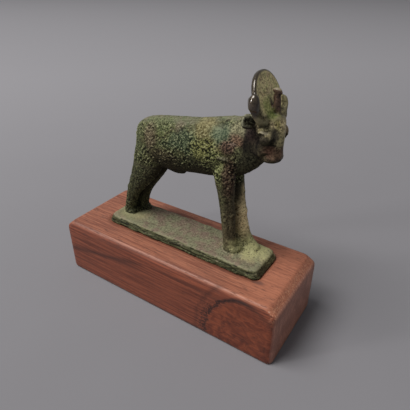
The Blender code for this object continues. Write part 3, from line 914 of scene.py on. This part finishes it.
    def lay_crown(self):
        height = self.height
        crown = height.ramp(56.5, 59) * self.along.ramp(32, 34.5).high(height.ramp(60, 61))
        away = self.distance(tuple(DISC_PLACE.translation), (1, 1, 1))
        forward = tuple(DISC_PLACE.to_3x3() @ Vector((1, 0, 0)))
        facing = self.vector("DOT_PRODUCT", self.normal, forward, "Value")
        face = facing.ramp(0.7, 0.92) * away.fall(8.2, 9.2) * height.ramp(59.6, 61)
        self.tint(crown, (0.05, 0.04, 0.021), (0.2, 0.175, 0.09), 0.3, 0.65)
        self.tint(face, (0.24, 0.2, 0.1), (0.86, 0.77, 0.39), 0.28, 0.6)
        self.tint(face * self.clouds.ramp(0.45, 0.65) * 0.6, (0.16, 0.1, 0.06), (0.6, 0.44, 0.28))
        self.tint(face * self.clouds.fall(0.36, 0.48) * 0.5, (0.12, 0.13, 0.04), (0.5, 0.54, 0.2))
        # Paler ridges on the crown: edge wear, and partly a painted highlight along them.
        self.lay(crown * (1 - face) * (1 - self.hollow).ramp(0.58, 0.78) * 0.5, (0.26, 0.23, 0.14))
        green = self.patch((35.6, -2.6, 61.6), (3.6, 3.4, 3.2), 0.6, 0.6)
        self.tint(green * crown * 0.6, (0.17, 0.23, 0.06), (0.38, 0.46, 0.15))
        rim = away.ramp(8.1, 8.9) * height.ramp(64.5, 67)
        near_horn = self.patch((33.4, -10.6, 64), (3.2, 2.4, 4.8), 0.25, 0.1)
        self.bare = rim.high(near_horn) * crown
        self.lay(self.bare * 0.9, self.settings.bronze)
        outer = away.ramp(10.4, 11.6) * height.ramp(59.5, 61)
        self.tint(outer * 0.8, (0.022, 0.015, 0.01), (0.085, 0.062, 0.04))
        cobra = self.patch((37.4, 0.2, 64.5), (2.6, 1.8, 6), 0.2, 0.1) * crown
        self.tint(cobra, (0.018, 0.011, 0.008), (0.11, 0.068, 0.048), 0.3, 0.6)
        # Painted highlight on the top of the cobra's head.
        self.lay(cobra * height.ramp(66.2, 67.2) * self.up.ramp(0.2, 0.7), (0.26, 0.22, 0.15))
        self.crown = crown

    def lay_plinth(self):
        floor = self.up.ramp(0.5, 0.85) * self.height.fall(0.6, 2)
        slab = self.mix(self.broad.ramp(0.38, 0.62), (0.19, 0.138, 0.104), (0.19, 0.186, 0.114))
        slab = self.mix(self.clouds.ramp(0.5, 0.66) * 0.55, slab, (0.23, 0.215, 0.135))
        slab = self.mix(self.speck.ramp(0.55, 0.7) * 0.5, slab, (0.33, 0.31, 0.19))
        slab = self.mix(self.level.fall(0.36, 0.52) * 0.65, slab, (0.055, 0.045, 0.028))
        self.lay(floor, slab)
        bloom = self.patch((31.5, 2.5, 0.5), (9, 7, 7), 0.6, 0.9) * self.height.fall(6, 11)
        self.lay(bloom * (self.level.ramp(0.28, 0.5) * 0.75 + 0.2), self.settings.bloom)
        self.lay(self.patch((-29, -4, 0.5), (7.5, 5, 4), 0.6, 0.9) * floor * 0.6, (0.3, 0.29, 0.15))
        self.edge = self.height.fall(-0.6, 0.2) * self.up.fall(0.3, 0.7)
        self.strokes = self.noise((5, 0.7, 0.5), 3, 0.6)
        ragged = self.mix(self.strokes.ramp(0.4, 0.62), (0.01, 0.012, 0.006), (0.115, 0.12, 0.058))
        self.lay(self.edge * 0.92, ragged)
        lip = self.height.ramp(-1, -0.35) * self.height.fall(-0.1, 0.25)
        lip = lip * self.up.fall(0.75, 0.95)
        self.lay(lip * self.clouds.ramp(0.38, 0.55) * 0.6, (0.26, 0.25, 0.14))

    def shade(self):
        inputs = self.shader.inputs
        self.feed(inputs["Base Color"], self.colour)
        gloss = self.bare.high(self.crown * 0.45).high(self.head * 0.5)
        matt = self.dull.high(self.cheek_shade)
        self.feed(inputs["Roughness"], (0.46 + (1 - self.level) * 0.3 - gloss * 0.36).high(matt * 0.85))
        self.feed(inputs["Metallic"], self.bare * 0.35)
        self.feed(inputs["Coat Weight"], self.bare.high(self.crown * 0.1))
        inputs["Coat Roughness"].default_value = 0.1
        inputs["Specular IOR Level"].default_value = 0.18
        relief = self.fine * 0.6 + self.grain * 0.25 + self.strokes * self.edge * 0.5
        self.bump(relief * (0.4 + self.crust), 0.42, 0.95)


def patina_material(settings):
    patina = Patina(settings)
    patina.lay_body()
    patina.lay_back()
    patina.lay_patches()
    patina.lay_legs()
    patina.lay_head()
    patina.lay_painted_shade()
    patina.lay_crown()
    patina.lay_plinth()
    patina.shade()
    return patina.material


# The wooden block

ARCH_CENTRE = (40.5, 2)
ARCH_LEFT = 16.0
ARCH_RIGHT = 21.0
ARCH_HEIGHT = 23.6
ARCH_SLOPE = 0.35


def model_block(settings):
    piece = remeshed(merged_copy("wooden_base"), "rosewood_block", settings.voxel)
    skin = Skin(piece, Matrix.Identity(4))
    skin.relax(settings.soften_rounds)
    normals = skin.normals()
    edge = 1 - np.abs(normals).max(axis=1)
    wear = noise_at(skin.points * np.array((0.5, 1, 1)), 2.5, 8)
    skin.points -= normals * (np.clip(wear, 0, 1) * edge * 0.35)[:, None]
    low, high = np.array(BASE_LOW) / MM, np.array(BASE_HIGH) / MM
    skin.points = np.clip(skin.points, low, high)
    skin.store()
    return piece


def band(value, middle, half_width):
    """1 where a socket's value is at the middle, straight down to 0 on both sides."""
    return (1 - abs(value - middle) / half_width).high(0)


def rosewood_material(settings):
    """Straight grain along X on the top, and an arched figure on the right of the front."""
    finish = Finish("polished rosewood")
    lay, mix = finish.lay, finish.mix
    x, y, z = (finish.axis(name) for name in "XYZ")
    sway = finish.noise((30, 9, 9), 2)
    streaks = finish.noise((26, 0.75, 0.75), 3, 0.4)
    fibres = finish.noise((9, 0.28, 0.28), 2)
    pores = finish.noise((3.2, 0.22, 0.22), 1, shift=(5, 2, 9))
    bands = finish.noise((60, 3.2, 3.2), 2, 0.8, shift=(1, 4, 2))

    # Growth layers cut the front face as nested arches
    inward = y - BASE_LOW.y / MM
    across = x - ARCH_CENTRE[0] - inward * ARCH_SLOPE
    sideways = across.high(0) / ARCH_RIGHT + (0 - across).high(0) / ARCH_LEFT
    rise = (z - ARCH_CENTRE[1]) / ARCH_HEIGHT
    jagged = (finish.noise((1.3, 1.3, 0.9), 2, shift=(4, 0, 3)) - 0.5) * rise.fall(0.6, 1.05)
    arch = (sideways * sideways + rise * rise) ** 0.5 + (sway - 0.5) * 0.12 + jagged * 0.34
    line = band(arch, 1, 0.05) ** 0.6
    line = line * (1 - across.ramp(0, 9) * 0.6)
    echo = band(arch, 1.1, 0.035) * rise.fall(0.5, 0.9)
    second = band(arch, 0.55, 0.05) + band(arch, 0.25, 0.05)
    outer = band(arch, 1.27, 0.09) * across.fall(-4, 2)
    front = inward.fall(1.2, 3)
    face = inward.fall(0.5, 1.3)
    inside = arch.fall(0.85, 1) * face

    finish.colour = mix(streaks.ramp(0.32, 0.66), settings.dark_wood, settings.light_wood)
    lay(bands.ramp(0.5, 0.72) * 0.55, (0.13, 0.045, 0.03))
    lay(fibres.ramp(0.35, 0.7) * 0.35, (0.42, 0.17, 0.105))
    facing = mix(streaks.ramp(0.3, 0.7), (0.105, 0.023, 0.011), (0.265, 0.067, 0.032))
    facing = mix(bands.ramp(0.5, 0.7) * 0.5, facing, (0.085, 0.026, 0.017))
    lay(face * 0.85, facing)
    curl = finish.noise((4.5, 4.5, 3), 3, 1.2, shift=(6, 6, 2))
    warm = mix(curl.ramp(0.35, 0.65), (0.115, 0.025, 0.012), (0.255, 0.063, 0.027))
    lay(inside * 0.75, warm)
    left_streak = abs(z - (16.5 + (x + 30) * 0.16) + (sway - 0.5) * 5)
    dark_left = (1 - left_streak / 2).high(0) * face * x.fall(-16, -4)
    marks = line.high(echo * 0.8).high(second * 0.35).high(outer * 0.45) * front
    lay(marks, settings.figure_line)
    lay(dark_left * 0.6, settings.figure_line)
    lay(x.ramp(24, 50) * (1 - face) * 0.35, (0.54, 0.2, 0.11))
    lay(pores.ramp(0.56, 0.7) * 0.6, (0.06, 0.02, 0.014))
    stain = 1 - finish.distance((41.5, -8.6, 27.6), (3.4, 1.6, 2)).ramp(0.4, 1.1)
    lay(stain * 0.55, (0.06, 0.04, 0.04))
    # A pale spot at the front right top corner: a painted highlight on a small chip.
    chip_highlight = 1 - finish.distance((51.8, -19.4, 26.6), (0.8, 0.5, 0.5)).ramp(0.5, 1.1)
    lay(chip_highlight * 0.8, (0.62, 0.45, 0.36))
    end = x.ramp(53.6, 54.6)
    rays = finish.noise((4, 0.45, 4.5), 3, 0.6, shift=(1, 1, 7))
    end_grain = mix(rays.ramp(0.35, 0.65), (0.66, 0.33, 0.24), (0.34, 0.16, 0.125))
    end_grain = mix(pores.ramp(0.55, 0.7) * 0.6, end_grain, (0.2, 0.095, 0.08))
    damp = finish.noise((9, 7, 7), 2, shift=(2, 5, 3))
    end_grain = mix(damp.ramp(0.42, 0.6) * 0.6, end_grain, (0.24, 0.11, 0.085))
    lay(end * 0.6, end_grain)
    scuffs = finish.noise((0.7, 0.5, 0.5), 3, shift=(3, 9, 2)).ramp(0.5, 0.62)
    bevel = x.ramp(51.6, 52.6) * x.fall(54.3, 54.9) * z.ramp(20, 27)
    lay(bevel * scuffs * 0.55, (0.62, 0.32, 0.2))

    inputs = finish.shader.inputs
    finish.feed(inputs["Base Color"], finish.colour)
    finish.feed(inputs["Roughness"], 0.52 - streaks * 0.1 + pores.ramp(0.6, 0.75) * 0.2)
    inputs["Specular IOR Level"].default_value = 0.4
    finish.bump(fibres * 0.4 - pores.ramp(0.6, 0.75) * 0.8 + streaks * 0.2, 0.12, 0.6)
    return finish.material


# The stage


def build_floor(settings):
    bm = bmesh.new()
    bmesh.ops.create_grid(bm, x_segments=1, y_segments=1, size=3.0)
    mesh = bpy.data.meshes.new("floor")
    bm.to_mesh(mesh)
    bm.free()
    floor = bpy.data.objects.new("floor", mesh)
    bpy.context.scene.collection.objects.link(floor)
    finish = Finish("pale floor")
    cloud = finish.noise((60, 60, 60), 2.0)
    # Painted light: the floor grows lighter towards the back and the left.
    floor_light_gradient = (finish.axis("Y") - finish.axis("X")).ramp(-150, 700)
    shade = tuple(settings.floor_colour)
    darker = tuple(0.93 * value for value in shade)
    lighter = tuple(1.35 * value for value in shade)
    near_floor = finish.mix(cloud, darker, shade)
    finish.feed(finish.shader.inputs["Base Color"], finish.mix(floor_light_gradient, near_floor, lighter))
    finish.shader.inputs["Roughness"].default_value = 0.9
    floor.data.materials.append(finish.material)


def add_lamp(name, place, aim, size, power, colour):
    lamp = bpy.data.lights.new(name, "AREA")
    lamp.shape = "DISK"
    lamp.size = size
    lamp.energy = power
    lamp.color = colour
    holder = bpy.data.objects.new(name, lamp)
    holder.location = place
    holder.rotation_euler = (Vector(aim) - Vector(place)).to_track_quat("-Z", "Y").to_euler()
    bpy.context.scene.collection.objects.link(holder)


def light_stage(settings):
    add_lamp("key light", (-1.2, -1.2, 3.00), (0, 0, 0.05), 2.1, settings.key_power, (1.0, 0.985, 0.95))
    add_lamp("rim light", (-0.5, -0.62, 0.34), (0, 0, 0.07), 0.12, settings.rim_power, (1.0, 0.98, 0.95))
    world = bpy.data.worlds.new("soft room")
    world.use_nodes = True
    background = world.node_tree.nodes["Background"]
    background.inputs["Color"].default_value = (1.0, 0.99, 0.985, 1)
    background.inputs["Strength"].default_value = settings.fill_strength
    bpy.context.scene.world = world
    bpy.context.scene.view_settings.view_transform = "Standard"


def side_and_up(forward):
    side = forward.cross(Vector((0, 0, 1))).normalized()
    return side, side.cross(forward).normalized()


def place_camera():
    """The camera at the angle and distance that the block's edges give."""
    azimuth, elevation = CAMERA_AZIMUTH, CAMERA_ELEVATION
    back = Vector((
        math.sin(azimuth) * math.cos(elevation), -math.cos(azimuth) * math.cos(elevation), math.sin(elevation)
    ))
    target = Vector((0, 0, CAMERA_TARGET_HEIGHT))
    location = (target + back * CAMERA_DISTANCE) * BLOCK_LENGTH * MM
    forward = -back
    right, up = side_and_up(forward)
    forward = (forward + right * math.tan(CAMERA_PAN) + up * math.tan(CAMERA_TILT)).normalized()
    right, up = side_and_up(forward)
    rolled = right * math.cos(CAMERA_ROLL) + up * math.sin(CAMERA_ROLL)
    top = up * math.cos(CAMERA_ROLL) - right * math.sin(CAMERA_ROLL)
    data = bpy.data.cameras.new("camera")
    data.sensor_width = SENSOR
    data.lens = FOCAL_PIXELS / PHOTO_SIZE * SENSOR
    data.clip_start = 0.01
    camera = bpy.data.objects.new("camera", data)
    matrix = Matrix((rolled, top, -forward)).transposed().to_4x4()
    camera.matrix_world = Matrix.Translation(location) @ matrix
    bpy.context.scene.collection.objects.link(camera)
    bpy.context.scene.camera = camera


# Operators and the panel


class APIS_OT_bronze(bpy.types.Operator):
    """Builds the bull, its disc, horns and plinth as one patinated casting"""

    bl_idname = "apis.bronze"
    bl_label = "Bronze bull"

    def execute(self, context):
        settings = context.scene.apis_bull
        piece = model_bronze(settings)
        finish_piece(piece, "apis_bull", patina_material(settings))
        return {"FINISHED"}


class APIS_OT_block(bpy.types.Operator):
    """Builds the polished rosewood block with its bevel and recess"""

    bl_idname = "apis.block"
    bl_label = "Rosewood block"

    def execute(self, context):
        settings = context.scene.apis_block
        piece = model_block(settings)
        finish_piece(piece, "wooden_base", rosewood_material(settings))
        return {"FINISHED"}


class APIS_OT_stage(bpy.types.Operator):
    """Sets up the pale floor, the soft light and the camera"""

    bl_idname = "apis.stage"
    bl_label = "Stage"

    def execute(self, context):
        settings = context.scene.apis_stage
        build_floor(settings)
        light_stage(settings)
        place_camera()
        return {"FINISHED"}


class APIS_PT_panel(bpy.types.Panel):
    """Lists the steps that build the figure"""

    bl_idname = "APIS_PT_panel"
    bl_label = "Apis Bull"
    bl_space_type = "VIEW_3D"
    bl_region_type = "UI"
    bl_category = "Apis Bull"

    def draw(self, context):
        for operator in OPERATORS:
            self.layout.operator(operator.bl_idname)
        for group in (context.scene.apis_bull, context.scene.apis_block, context.scene.apis_stage):
            box = self.layout.box()
            for name in group.__annotations__:
                box.prop(group, name)


OPERATORS = (APIS_OT_bronze, APIS_OT_block, APIS_OT_stage)
CLASSES = (BullSettings, BaseSettings, StageSettings, *OPERATORS, APIS_PT_panel)


def register():
    for item in CLASSES:
        bpy.utils.register_class(item)
    bpy.types.Scene.apis_bull = PointerProperty(type=BullSettings)
    bpy.types.Scene.apis_block = PointerProperty(type=BaseSettings)
    bpy.types.Scene.apis_stage = PointerProperty(type=StageSettings)


def unregister():
    del bpy.types.Scene.apis_stage
    del bpy.types.Scene.apis_block
    del bpy.types.Scene.apis_bull
    for item in reversed(CLASSES):
        bpy.utils.unregister_class(item)


def main():
    register()
    bpy.ops.apis.bronze()
    bpy.ops.apis.block()
    bpy.ops.apis.stage()


if __name__ == "__main__":
    main()
